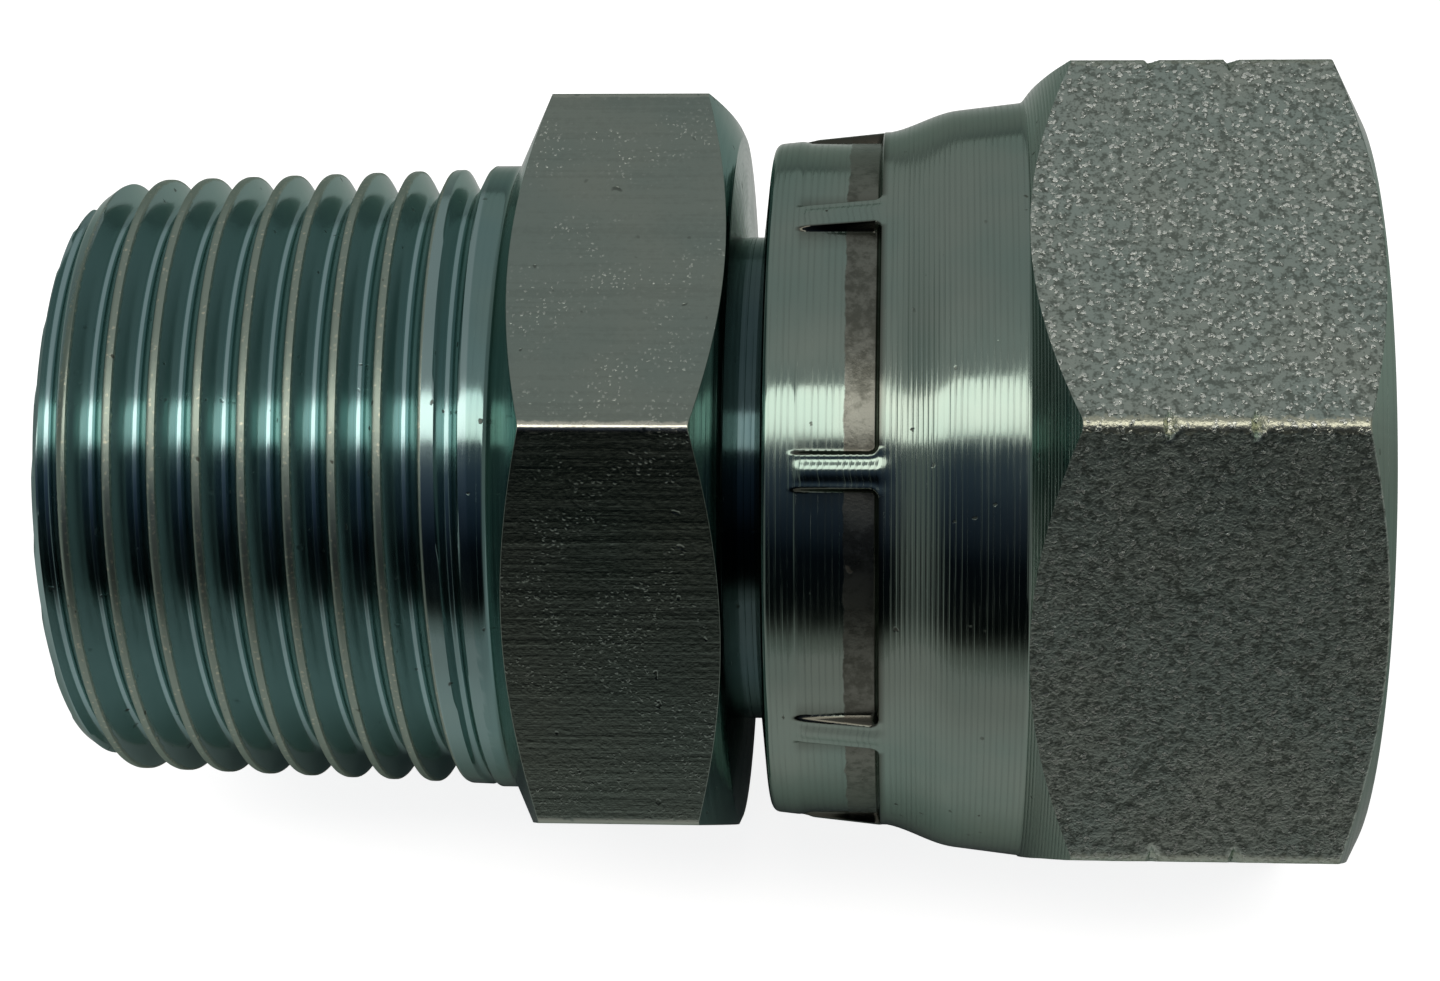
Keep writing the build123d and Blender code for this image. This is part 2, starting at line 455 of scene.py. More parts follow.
def winding_blank(
    name: str, angles: np.ndarray, stations: list, pitch: float, phase: float, rows: int
) -> bpy.types.Object:
    """A turned surface whose rows wind along the axis, so that a thread's edges follow them.

    Args:
        name: The object's name.
        angles: Directions round the axis.
        stations: (way, x, radius) along the surface, where way is x itself on the threaded stretch.
        pitch: How far a row advances in one turn.
        phase: A place where a groove's middle is at a quarter turn.
        rows: How many rows there are for each pitch.

    Returns:
        The surface as an object. The rows past its ends are welded into its first and last rings.
    """
    way, x, radius = (np.array(column) for column in zip(*stations))
    turns = angles / math.tau
    start = phase - pitch / 4 - pitch * math.ceil((phase - way[0]) / pitch + 1)
    total = math.ceil((way[-1] - start) / pitch * rows) + 2
    place = start + np.arange(total)[:, None] * pitch / rows + pitch * turns[None, :]
    place = np.clip(place, way[0], way[-1])
    reach = np.interp(place, way, radius)
    points = np.stack([np.interp(place, way, x), reach * np.cos(angles), reach * np.sin(angles)], 2)
    count = len(angles)
    index = np.arange(total * count).reshape(total, count)
    body = np.stack([index[:-1, :-1], index[:-1, 1:], index[1:, 1:], index[1:, :-1]], 2).reshape(-1, 4)
    last, first = index[:-1, -1], index[:, 0]
    kept = total - 1 - rows
    seam = np.stack([last[:kept], first[rows:-1], first[rows + 1 :], last[1 : kept + 1]], 1)
    made = mesh_object(name, points.reshape(-1, 3), np.concatenate([body, seam]))
    weld(made)
    return made


def weld(thing: bpy.types.Object) -> None:
    """Join points that lie together and drop faces that have shrunk to nothing."""
    work = bmesh.new()
    work.from_mesh(thing.data)
    bmesh.ops.remove_doubles(work, verts=work.verts, dist=WELD)
    work.to_mesh(thing.data)
    work.free()


def joined(name: str, parts: list, finishes: list, sharp: float) -> bpy.types.Object:
    """Weld several open surfaces into one closed piece that is smooth but for its sharp edges.

    Args:
        name: The piece's name.
        parts: The surfaces, which are used up.
        finishes: The piece's materials, in the order of their zones.
        sharp: The angle, in radians, above which an edge stays sharp.

    Returns:
        The piece.
    """
    work = bmesh.new()
    for part in parts:
        work.from_mesh(part.data)
        bpy.data.objects.remove(part)
    bmesh.ops.remove_doubles(work, verts=work.verts, dist=WELD)
    bmesh.ops.recalc_face_normals(work, faces=work.faces)
    LOG.info("%s: %d open edges, %d points", name, sum(e.is_boundary for e in work.edges), len(work.verts))
    mesh = bpy.data.meshes.new(name)
    work.to_mesh(mesh)
    work.free()
    made = bpy.data.objects.new(name, mesh)
    bpy.context.scene.collection.objects.link(made)
    for finish in finishes:
        mesh.materials.append(finish)
    mesh.shade_smooth()
    mesh.set_sharp_from_angle(angle=sharp)
    return made


@dataclass
class PipeThread:
    """A right-hand pipe thread of 55 degree form, cut into a turned surface."""

    side: Side
    pitch: float
    flat: float
    flank_angle: float
    root_radius: float
    taper: float
    phase: float
    run_out: float = 1.0
    run_out_length: float = 1.0
    run_out_rise: float = 0.0
    wobble: float = 0.012 * MM
    wobble_scale: float = 300.0
    depth: float = 1.479 * MM
    crest_ease: float = 0.1 * MM

    def cut(self, blank: bpy.types.Object, finish: bpy.types.Material) -> bpy.types.Object:
        """Cut the thread, and keep each point's height on it as "relief" and how far it is cut as "cut".

        Args:
            blank: The turned surface.
            finish: Its material.

        Returns:
            The same object.
        """
        rule = Rule("thread_cut")
        steepness = rule.size("flank_steepness", 1 / math.tan(self.flank_angle / 2))
        side, root_round = rule.size("side", self.side.value), rule.size("root_round", self.root_round())
        own = rule.sizes(
            self, "pitch", "root_radius", "taper", "phase", "run_out", "run_out_length", "run_out_rise",
            "wobble", "wobble_scale", "crest_ease", "depth",
        )
        x, radius, turn = rule.round_axis()
        turns_along = (x - own.phase) / own.pitch - turn + 0.25
        off = turns_along - rule.math("ROUND", turns_along)
        middle = x - off * own.pitch
        fading = rule.least(rule.most((middle - own.run_out) / own.run_out_length, 0.0), 1.0)
        floor = own.root_radius + middle * own.taper + fading * own.run_out_rise
        across = abs(off) * own.pitch
        on_arc = rule.least(across, root_round * math.cos(self.flank_angle / 2))
        arc = root_round - rule.math("SQRT", root_round * root_round - on_arc * on_arc)
        flank = rule.most(across - on_arc, 0.0) * steepness
        uneven = rule.noise(rule.node("GeometryNodeInputPosition"), own.wobble_scale, 1.0) - 0.5
        groove = floor + (arc + flank + uneven * own.wobble) * side
        new_radius = rule.math("SMOOTH_MIN", radius * side, groove * side, own.crest_ease) * side
        depth = (new_radius - floor) * side / own.depth
        moved = rule.store(rule.place(rule.mesh(), x, new_radius, turn), "relief", depth)
        rule.apply(blank, rule.store(moved, "cut", 1.0 - fading), finish)
        return blank

    def root_round(self) -> float:
        """The radius that rounds the whole root, from flank to flank."""
        return self.flat / 2 / math.tan((math.pi / 2 - self.flank_angle / 2) / 2)


@dataclass
class CrimpMarks:
    """The hollows of the crimping jaws in the collar, and the turned nicks in the nut's corners."""

    jaws: int = 8
    span: float = math.radians(40)
    first: float = math.radians(12.8)
    start: float = 38.66 * MM
    end: float = 43.16 * MM
    corner: float = 0.5 * MM
    face_radius: float = 18.275 * MM
    wall: float = 0.23 * MM
    soft_start: float = 0.6 * MM
    lip: float = 0.045 * MM
    bridge_height: float = 0.17 * MM
    bridge_width: float = 0.75 * MM
    bridge_fade: float = 0.5 * MM
    shaded: float = 1.5 * MM
    nicks: int = 2
    first_nick: float = 56.76 * MM
    nick_spacing: float = 4.05 * MM
    nick_floor: float = 23.171 * MM
    nick_edge: float = 0.03 * MM
    nick_steep: float = 1.6
    nick_gentle: float = 0.68
    nick_reach: float = 0.9 * MM
    forge_height: float = 0.05 * MM
    forge_grain: float = 1.1 * MM
    forge_level: float = 0.72
    hexagon_start: float = 51.2 * MM
    row_step: float = 0.42 * MM

    def hexagon_rows(self, lowest: float, highest: float) -> list:
        """Places along the hexagon for its rows of faces, close together at the nicks."""
        near = [-0.7, -0.55, -0.4, -0.25, -0.12, 0.0, 0.12, 0.25, 0.4, 0.55, 0.7]
        nicks = [self.first_nick + index * self.nick_spacing for index in range(self.nicks)]
        rows = {round(nick + step * MM, 7) for nick in nicks for step in near}
        for x in np.arange(lowest, highest, self.row_step):
            if all(abs(x - nick) > self.nick_reach for nick in nicks):
                rows.add(round(float(x), 7))
        return sorted(rows)

    def collar_rows(self, lowest: float) -> list:
        """Places along the collar for its rows of faces, close together at the marks' far end."""
        close = self.end - 0.55 * MM
        return [*np.linspace(self.end, close, 15), *np.linspace(close, lowest, 30)[1:]]

    def press(self, blank: bpy.types.Object, finish: bpy.types.Material) -> None:
        """Press the marks, cut the nicks and roughen the forged hexagon.

        The marks are kept as "pressed", their walls as "wall", the painted shade along their sides as
        "shade" and the nicks as "nicked".

        Args:
            blank: The nut's outside.
            finish: Its main material.
        """
        rule = Rule("crimp_marks")
        span = rule.size("span_turn", self.span / math.tau)
        first = rule.size("first_turn", self.first / math.tau)
        own = rule.sizes(
            self, "jaws", "start", "end", "corner", "face_radius", "wall", "soft_start", "lip",
            "bridge_height", "bridge_width", "bridge_fade", "shaded", "nicks", "first_nick", "nick_spacing",
            "nick_floor", "nick_edge", "nick_steep", "nick_gentle", "forge_height", "forge_level",
            "hexagon_start",
        )
        x, radius, turn = rule.round_axis()
        on_collar = rule.math("LESS_THAN", x, self.end + 1.0 * MM)
        on_hexagon = rule.math("GREATER_THAN", x, own.hexagon_start)
        jaw_turn = (turn - first) * own.jaws
        round_off = abs(jaw_turn - rule.math("ROUND", jaw_turn)) / own.jaws * math.tau * radius
        out_round = round_off - span / 2 * math.tau * radius + own.corner
        outside = rule.rounded_edge(x - own.end + own.corner, out_round, own.corner)
        from_start = (x - own.start) / own.soft_start
        pressed = rule.ramped(outside / own.wall, 0.0, -1.0) * rule.ramped(from_start, 0.0, 1.0)
        depth = rule.most(radius - own.face_radius, 0.0) * pressed * on_collar
        from_lip = (outside - own.lip) / own.wall
        from_middle = (radius * math.pi / own.jaws - round_off) / own.bridge_width
        bridge = rule.math("EXPONENT", -(from_middle * from_middle) * 2.0) * own.bridge_height
        swell = rule.math("EXPONENT", -(from_lip * from_lip) * 2.0) * own.lip
        swell = (swell + bridge * rule.ramped((x - own.end) / own.bridge_fade, 1.0, -0.4)) * on_collar
        swell = swell * rule.ramped(from_start, 0.1, 1.4)
        nick = (x - own.first_nick) / own.nick_spacing
        nearest = rule.least(rule.most(rule.math("ROUND", nick), 0.0), own.nicks - 1.0)
        off = (nick - nearest) * own.nick_spacing
        groove = own.nick_floor + rule.most(off * own.nick_gentle, -off * own.nick_steep)
        lumps = rule.noise(rule.node("GeometryNodeInputPosition"), 1 / self.forge_grain, 2.0, 0.6)
        grain = rule.least(lumps - own.forge_level, 0.0) * own.forge_height * on_hexagon
        outer = radius - depth + swell + grain
        mesh = rule.place(rule.mesh(), x, rule.least(outer, groove), turn)
        on_wall = rule.ramped(abs(outside / own.wall + 0.45), 0.75, 0.35) * rule.ramped(from_start, 0.1, 0.6)
        # Painted shade inside each mark, darkest along its sides.
        shade = rule.ramped((out_round - own.corner) / own.shaded, -1.0, 0.0) * pressed
        nicked = rule.ramped((outer - groove) / own.nick_edge, 0.0, 1.0) * on_hexagon
        for name, value in (("pressed", pressed), ("wall", on_wall), ("shade", shade)):
            mesh = rule.store(mesh, name, value * on_collar)
        rule.apply(blank, rule.store(mesh, "nicked", nicked), finish)


def cleared(owner: Union[bpy.types.Material, bpy.types.World]) -> bpy.types.NodeTree:
    """Switch on the nodes of a material or world, take them all out and give back the tree."""
    owner.use_nodes = True
    owner.node_tree.nodes.clear()
    return owner.node_tree


class Metal(Graph):
    """A plated metal's material, with the patterns that its finishes share."""

    def __init__(self, name: str) -> None:
        """Start the material, and find each place on the piece, its distance from the axis and its turn."""
        self.made = bpy.data.materials.new(name)
        super().__init__(cleared(self.made))
        self.place = self.node("ShaderNodeTexCoord").beside("Object")
        self.x, self.y, self.z = self.split(self.place)
        self.radius = self.math("SQRT", self.y * self.y + self.z * self.z)
        self.turn = self.math("ARCTAN2", self.z, self.y) / math.tau

    def grain(self, scale: float, detail: float = 2.0, roughness: float = 0.5) -> Wire:
        """Noise that stays on the piece, with the scale in lumps to the metre."""
        return self.noise(self.place, scale, detail, roughness)

    def drawn(self, along: float, across: float, detail: float, roughness: float) -> Wire:
        """Noise drawn out into lines along the axis, with its two scales in lumps to the metre."""
        place = self.vector(self.x * along, self.y * across, self.z * across)
        return self.noise(place, 1.0, detail, roughness)

    def dots(self, size: float, share: float, reach: float, warp: float, shift: float = 0.0) -> Wire:
        """Scattered dots.

        Args:
            size: How far the places where a dot may be lie from one another.
            share: The part of those places that have one.
            reach: The largest dot's radius, as a share of the size.
            warp: How far their outlines are drawn out of round, as a share of the size.
            shift: How far the whole pattern lies towards the front and the floor.

        Returns:
            1 inside a dot, less in some of them.
        """
        sockets = {0: self.place, 1: (0.0, shift, shift)}
        place = self.node("ShaderNodeVectorMath", {"operation": "ADD"}, sockets)
        push = self.node("ShaderNodeTexNoise", None, {"Vector": place, "Scale": 1.5 / size}).beside("Color")
        sockets = {0: push, 1: (warp * size,) * 3, 2: place}
        place = self.node("ShaderNodeVectorMath", {"operation": "MULTIPLY_ADD"}, sockets)
        near = self.node("ShaderNodeTexVoronoi", None, {"Vector": place, "Scale": 1 / size})
        chance, strength, _ = self.split(near.beside("Color"))
        chosen = self.math("LESS_THAN", chance, share) * (0.4 + strength * 0.6)
        return self.ramped(near, reach, reach * 0.5) * chosen

    def kept(self, name: str) -> Wire:
        """A value that the geometry kept for each point, 0 where it has none."""
        return self.node("ShaderNodeAttribute", {"attribute_name": name}).beside("Fac")

    def facing(self, turn: float) -> Wire:
        """The cosine of the angle round the axis between each place and a direction."""
        return self.math("COSINE", (self.turn - turn) * math.tau)

    def sparkle(self) -> Wire:
        """How strongly the painted glints and specks show: fully on the upper flat, which faces the light,
        and less on the others.
        """
        return self.ramped(self.facing(LIT_FLAT), 0.84, 0.89) * 0.6 + 0.4

    def clouds(self, size: float) -> Wire:
        """Soft clouds of about a size, from 0 to 1."""
        return self.ramped(self.grain(1 / size, 3.0), 0.32, 0.68)

    def tool_lines(self, pitch: float) -> Wire:
        """The grooves that a lathe tool leaves.

        Args:
            pitch: How far they lie from one another.

        Returns:
            1 in a groove, less in some turns than in others.
        """
        way = (self.x + self.radius) / pitch
        number = self.math("FLOOR", way)
        groove = self.ramped(abs(self.math("FRACT", way) - 0.5), 0.20, 0.38)
        spin = self.turn * math.tau
        around = self.vector(self.math("COSINE", spin), self.math("SINE", spin), number * 3.7)
        return groove * self.ramped(self.noise(around, 1.6, 3.0, 0.6), 0.30, 0.62)

    def corner_wear_and_highlight(self, width: float, raggedness: float) -> Wire:
        """Where a hexagon's corners are worn, with a painted highlight.

        Args:
            width: Half the worn stripe's width.
            raggedness: How far its borders wander.

        Returns:
            1 on the corner that faces the light, where wear and painted highlight are strongest, less on the
            others and 0 on the flats.
        """
        sixths = self.turn * 6.0 + 0.5
        off = abs(self.math("FRACT", sixths) - 0.5) / 6.0 * math.tau * self.radius
        ragged = (self.grain(2000.0, 3.0, 0.65) - 0.5) * raggedness
        # Wear and painted highlight are strongest on the corner that faces the long light.
        worn = self.ramped(self.facing(WORN_AND_LIT_CORNER), 0.5, 1.0) * 0.7 + 0.3
        return self.ramped(off + ragged, width * 1.25, width * 0.75) * worn

    def finished(self, colour: Wire, rough: Wire, height: Wire) -> bpy.types.Material:
        """End the material with a metal shader.

        Args:
            colour: Its base colour.
            rough: Its roughness.
            height: Its fine relief, in metres.

        Returns:
            The material.
        """
        bump = self.node("ShaderNodeBump", None, {"Strength": 1.0, "Distance": 1.0, "Height": height})
        sockets = {"Base Color": colour, "Roughness": rough, "Normal": bump, "Metallic": 1.0}
        sockets["Specular Tint"] = (*EDGE_SHEEN, 1.0)
        shader = self.node("ShaderNodeBsdfPrincipled", None, sockets)
        self.node("ShaderNodeOutputMaterial", None, {"Surface": shader})
        return self.made


@dataclass(frozen=True)
class Plating:
    """A bright, colour-passivated zinc plating on a turned surface."""

    name: str
    tint: Colour
    other_tint: Colour
    groove: Colour
    flank: Colour = (0.28, 0.395, 0.39)
    root: Colour = (0.28, 0.42, 0.43)
    crest: Colour = (0.27, 0.335, 0.285)
    bright: Colour = (0.52, 0.53, 0.42)
    dirt_and_shade: Colour = (0.05, 0.045, 0.035)
    pressed: Colour = (0.17, 0.175, 0.15)
    scuff: Colour = (0.085, 0.085, 0.07)
    roughness: float = 0.13
    worn_roughness: float = 0.30
    pit_roughness: float = 0.3
    cut_roughness: float = 0.045
    line_pitch: float = 0.35 * MM
    line_strength: float = 1.0
    line_roughness: float = 0.07
    line_depth: float = 0.010 * MM
    pit_depth: float = 0.01 * MM
    grit_scale: float = 5200.0
    grit_height: float = 0.0035 * MM
    crest_grain: float = 2600.0
    mottle_scale: float = 1900.0
    blotch_scale: float = 420.0
    border_scale: float = 900.0
    border_wander: float = 0.4 * MM
    border_soft: float = 0.05 * MM
    strip_start: float = 41.4 * MM

    def material(self) -> bpy.types.Material:
        """Build the material: tool lines, clouds, pits, worn thread crests with painted sparkle, the jaws'
        scuffed strips and painted shade in the jaw marks.
        """
        metal = Metal(self.name)
        relief, cut = metal.kept("relief"), metal.kept("cut")
        pressed, wall, shade = metal.kept("pressed"), metal.kept("wall"), metal.kept("shade")
        ragged = (metal.grain(self.crest_grain, 3.0, 0.65) - 0.5) * 0.16
        crest = metal.ramped(relief + ragged, 0.84, 0.93) * cut
        root = metal.ramped(relief, 0.07, 0.03) * cut
        flank = metal.ramped(relief, 0.03, 0.10) * metal.ramped(relief, 0.95, 0.88)
        flank = flank * metal.ramped(cut, 0.1, 0.9)
        uneven_x = metal.x + (metal.grain(self.border_scale, 3.0) - 0.5) * self.border_wander
        border = (uneven_x - self.strip_start) / self.border_soft
        scuffed = metal.ramped(border, -1.0, 1.0) * pressed
        plain = (1.0 - scuffed) * (1.0 - wall) * (1.0 - cut)
        lines = metal.tool_lines(self.line_pitch) * self.line_strength * plain
        pits = metal.most(metal.dots(1.2 * MM, 0.07, 0.16, 0.8), metal.dots(0.5 * MM, 0.03, 0.28, 0.8))
        colour = metal.blend(metal.clouds(7 * MM), self.tint, self.other_tint)
        colour = metal.blend(lines * 0.2, colour, self.groove)
        colour = metal.blend(flank, colour, self.flank)
        colour = metal.blend(root, colour, self.root)
        colour = metal.blend(crest, colour, self.crest)
        # Pale specks on the worn crests: bare metal, with painted sparkle.
        colour = metal.blend(crest * metal.dots(0.25 * MM, 0.5, 0.4, 1.0), colour, self.bright)
        mottle = metal.grain(self.mottle_scale, 4.0, 0.7) * 0.6 + metal.grain(self.blotch_scale, 1.0) * 0.4
        scuff = metal.blend(metal.ramped(mottle, 0.40, 0.58), self.scuff, self.pressed)
        colour = metal.blend(scuffed * 0.9, colour, scuff)
        # Painted shade along the marks' sides and on their walls, and the dark pits.
        shade_and_pits = metal.most(shade * (0.25 + mottle * 0.5), metal.most(wall * 0.9, pits * 0.85))
        colour = metal.blend(shade_and_pits, colour, self.dirt_and_shade)
        worn = metal.most(crest, scuffed)
        rough = self.roughness + lines * self.line_roughness + worn * (self.worn_roughness - self.roughness)
        rough = rough + (metal.clouds(3 * MM) - 0.5) * 0.06
        rough = rough + pits * self.pit_roughness + cut * self.cut_roughness
        grit = metal.grain(self.grit_scale, 3.0, 0.7) * (0.12 + worn * 3.2) * self.grit_height
        return metal.finished(colour, rough, grit - lines * self.line_depth - pits * self.pit_depth)


@dataclass(frozen=True)
class BarFlat:
    """A flat of bright drawn hexagon bar: lines along the bar, specks that are partly painted glints, pits
    and bright worn corners with a painted highlight.
    """

    name: str
    tint: Colour
    other_tint: Colour
    dark: Colour
    edge: Colour
    fleck: Colour = (0.80, 0.84, 0.78)
    roughness: float = 0.13
    edge_roughness: float = 0.07
    line_roughness: float = 0.08
    edge_width: float = 0.27 * MM
    edge_wander: float = 0.35 * MM
    nibble_size: float = 0.7 * MM
    grain_scale: float = 3300.0
    patch_scale: float = 330.0
    grain_height: float = 0.0105 * MM
    fleck_height: float = 0.025 * MM

    def material(self) -> bpy.types.Material:
        """Build the material."""
        metal = Metal(self.name)
        fine, broad = metal.drawn(110.0, 4200.0, 4.0, 0.7), metal.drawn(40.0, 1500.0, 3.0, 0.6)
        grain = metal.grain(self.grain_scale, 3.0, 0.65)
        patches = metal.ramped(metal.grain(self.patch_scale, 4.0, 0.6), 0.44, 0.64) * metal.sparkle()
        # Pale specks, partly painted glints that are strongest on the flat facing the light.
        flecks_and_glints = metal.dots(0.26 * MM, 0.8, 0.36, 1.0) * patches
        pits = metal.dots(1.3 * MM, 0.25, 0.14, 0.8)
        wear = metal.corner_wear_and_highlight(self.edge_width, self.edge_wander)
        nibbled = metal.ramped(metal.grain(1 / self.nibble_size, 1.0), 0.66, 0.70) * wear
        lines = metal.ramped(fine * 0.4 + broad * 0.3 + grain * 0.3, 0.53, 0.40)
        colour = metal.blend(metal.clouds(9 * MM), self.tint, self.other_tint)
        colour = metal.blend(lines * 0.14, colour, self.dark)
        # Pale worn corners: wear, with a painted highlight that is strongest on the corner facing the light.
        colour = metal.blend(wear - nibbled, colour, self.edge)
        colour = metal.blend(flecks_and_glints * 0.4, colour, self.fleck)
        colour = metal.blend(metal.most(pits * 0.8, nibbled * 0.6), colour, self.dark)
        rough = self.roughness + wear * self.edge_roughness + lines * self.line_roughness
        height = (fine * 0.4 + broad + grain) * self.grain_height + (flecks_and_glints - pits) * self.fleck_height
        return metal.finished(colour, rough, height)


@dataclass(frozen=True)
class ForgedFlat:
    """A forged and blasted flat with a sparkling orange-peel skin under its plating."""

    name: str
    tint: Colour
    other_tint: Colour
    # The colour of painted shade, in the skin's hollows and beside each glint.
    valley: Colour
    edge: Colour
    glint: Colour = (0.88, 0.93, 0.86)
    cut: Colour = (0.08, 0.105, 0.095)
    grain: float = 0.34 * MM
    shadow_shift: float = 0.055 * MM
    roughness: float = 0.32
    cut_smoothing: float = 0.12
    edge_width: float = 0.36 * MM
    edge_wander: float = 0.9 * MM
    peel_scale: float = 2300.0
    fine_scale: float = 6500.0
    peel_height: float = 0.028 * MM
    fine_height: float = 0.024 * MM
    glint_height: float = 0.035 * MM

    def material(self) -> bpy.types.Material:
        """Build the material: painted glints, each with a painted shadow, a dark copy of itself on the side
        away from the light.
        """
        metal = Metal(self.name)
        peel, fine = metal.grain(self.peel_scale), metal.grain(self.fine_scale, 2.0, 0.6)
        # Painted glints, strongest on the flat facing the light, and their painted shadows.
        glints = metal.dots(self.grain, 0.8, 0.44, 1.4) * metal.sparkle()
        shadows = metal.dots(self.grain, 0.8, 0.5, 1.4, self.shadow_shift)
        nicked = metal.kept("nicked")
        colour = metal.blend(metal.clouds(5 * MM), self.tint, self.other_tint)
        # The skin's low places darker, as painted shade in its hollows.
        valleys = metal.ramped(peel * 0.6 + fine * 0.4, 0.54, 0.40)
        colour = metal.blend(valleys * 0.75, colour, self.valley)
        # Pale worn corners: wear, with a painted highlight that is strongest on the corner facing the light.
        colour = metal.blend(metal.corner_wear_and_highlight(self.edge_width, self.edge_wander), colour, self.edge)
        colour = metal.blend(shadows * 0.9, colour, self.valley)
        colour = metal.blend(glints, colour, self.glint)
        # The nicks darkened, as painted shade in the notches.
        colour = metal.blend(nicked, colour, self.cut)
        height = peel * self.peel_height + fine * self.fine_height + glints * self.glint_height
        return metal.finished(colour, self.roughness - nicked * self.cut_smoothing, height * (1.0 - nicked))


TEAL = Plating(
    "teal_plating", (0.16, 0.27, 0.265), (0.19, 0.29, 0.27), (0.09, 0.15, 0.16),
    roughness=0.125, line_strength=0.35,
)
# The neck's plating: the teal darkened as painted shade in the gap between the hexagon and the nut.
SHADED_TEAL = Plating(
    "shaded_neck_plating", (0.05, 0.085, 0.09), (0.065, 0.10, 0.10), (0.02, 0.04, 0.05), line_strength=0.5
)
GREY_GREEN = Plating(
    "grey_green_plating", (0.21, 0.285, 0.25), (0.25, 0.305, 0.265), (0.11, 0.135, 0.12), roughness=0.12
)
BAR = BarFlat(
    "drawn_bar_plating", (0.22, 0.275, 0.245), (0.26, 0.30, 0.26), (0.06, 0.07, 0.06), (0.55, 0.56, 0.48)
)
FORGED = ForgedFlat(
    "forged_plating", (0.33, 0.40, 0.36), (0.37, 0.42, 0.37), (0.11, 0.13, 0.11), (0.44, 0.46, 0.36)
)


@dataclass
class AdapterBody:
    """The turned body: male thread, land, hexagon, neck, bead and cone nose."""

    pitch: float = 2.309 * MM
    small_end_radius: float = 16.26825 * MM
    depth: float = 1.479 * MM
    taper: float = 1 / 32
    phase: float = 0.534 * MM
    face_radius: float = 15.0 * MM
    bore_radius: float = 10.25 * MM
    bore_chamfer: float = 0.4 * MM
    chamfer_end: float = 1.9 * MM
    thread_end: float = 21.9 * MM
    land_radius: float = 17.1 * MM
    shoulder: float = 23.6 * MM
    hexagon_end: float = 35.85 * MM
    across_flats: float = 38.0 * MM
    corner_round: float = 0.5 * MM
    edge_round: float = 0.035 * MM
    chamfer_slope: float = math.tan(math.radians(25))
    dish_radius: float = 18.7 * MM
    dish_x: float = 35.504 * MM
    neck_radius: float = 13.2 * MM
    neck_end: float = 44.0 * MM
    bead_radius: float = 14.9 * MM
    bead_width: float = 2.6 * MM
    nose_radius: float = 14.3 * MM
    nose_x: float = 48.65 * MM
    tip_radius: float = 11.7 * MM
    tip_x: float = 53.153 * MM
    sheet_end: float = 22.9 * MM
    lead: float = 0.5 * MM
    run_out: float = 20.75 * MM
    run_out_lift: float = 0.35 * MM
    columns: int = 240
    rows_per_pitch: int = 24

    def angles(self) -> np.ndarray:
        """Directions round the axis, closer together at the hexagon's corners."""
        places = [(index * math.pi / 3, math.radians(1.2), 12.0) for index in range(6)]
        return spread_angles(self.columns, places)

    def radius_at(self, x: float) -> float:
        """The thread's major radius at a place along the axis."""
        return self.small_end_radius + self.taper * x

    def stem(self, angles: np.ndarray, finish: bpy.types.Material) -> bpy.types.Object:
        """Make the end face, the male thread and most of the land.

        Args:
            angles: Directions round the axis.
            finish: Their material.

        Returns:
            An open surface from the bore's chamfer to the land.
        """
        end_radius = self.radius_at(self.thread_end)
        step = self.thread_end - (self.land_radius - end_radius)
        stations = [
            (-self.lead, 0.0, self.bore_radius + self.bore_chamfer),
            (0.0, 0.0, self.face_radius),
            (self.chamfer_end, self.chamfer_end, self.radius_at(self.chamfer_end)),
            (step, step, end_radius),
            (self.thread_end, self.thread_end, self.land_radius),
            (self.sheet_end, self.sheet_end, self.land_radius),
        ]
        blank = winding_blank("stem", angles, stations, self.pitch, self.phase, self.rows_per_pitch)
        root = self.small_end_radius - self.depth
        rise = self.land_radius + self.run_out_lift - (root + self.run_out * self.taper)
        thread = PipeThread(
            Side.OUTSIDE, self.pitch, self.pitch / 6, math.radians(55), root, self.taper, self.phase,
            self.run_out, 0.9 * self.pitch, rise,
        )
        return thread.cut(blank, finish)

    def rest(self, angles: np.ndarray) -> bpy.types.Object:
        """Make the land's end, the hexagon, the nose and the bore as one open surface."""
        reach = hexagon_radius(self.across_flats, self.corner_round, angles)
        line = Outline(angles)
        line.corner(self.sheet_end, self.land_radius)
        line.corner(self.shoulder, self.land_radius, 0.8 * MM, 5)
        front = self.shoulder + (reach - self.land_radius) * self.chamfer_slope
        back = self.dish_x - (reach - self.dish_radius) * self.chamfer_slope
        line.corner(front, reach, self.edge_round, 3, Zone.FLAT)
        line.corner(back, reach, self.edge_round, 3)
        line.corner(self.dish_x, self.dish_radius, 0.2 * MM, 3)
        line.corner(self.hexagon_end, self.neck_radius, zone=Zone.NECK)
        line.corner(self.neck_end, self.neck_radius, 0.3 * MM, 4, Zone.NECK)
        bead_x = self.neck_end + self.bead_radius - self.neck_radius
        line.corner(bead_x, self.bead_radius, 0.15 * MM, 3)
        line.corner(bead_x + self.bead_width, self.bead_radius, 0.15 * MM, 3)
        line.corner(self.nose_x, self.nose_radius)
        line.corner(self.tip_x, self.tip_radius, 0.15 * MM, 3)
        line.corner(self.tip_x, self.bore_radius + self.bore_chamfer)
        line.corner(self.tip_x - self.bore_chamfer, self.bore_radius)
        line.corner(self.bore_chamfer, self.bore_radius)
        line.corner(0.0, self.bore_radius + self.bore_chamfer)
        return line.mesh("nose")

    def build(self) -> bpy.types.Object:
        """Make the piece, dress it and put it on its body."""
        angles = self.angles()
        teal, bar = TEAL.material(), BAR.material()
        parts = [self.stem(angles, teal), self.rest(angles)]
        piece = joined("adapter_body_plated", parts, [teal, bar, SHADED_TEAL.material()], SHARP)
        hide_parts("adapter_body")
        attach(piece, "body")
        return piece


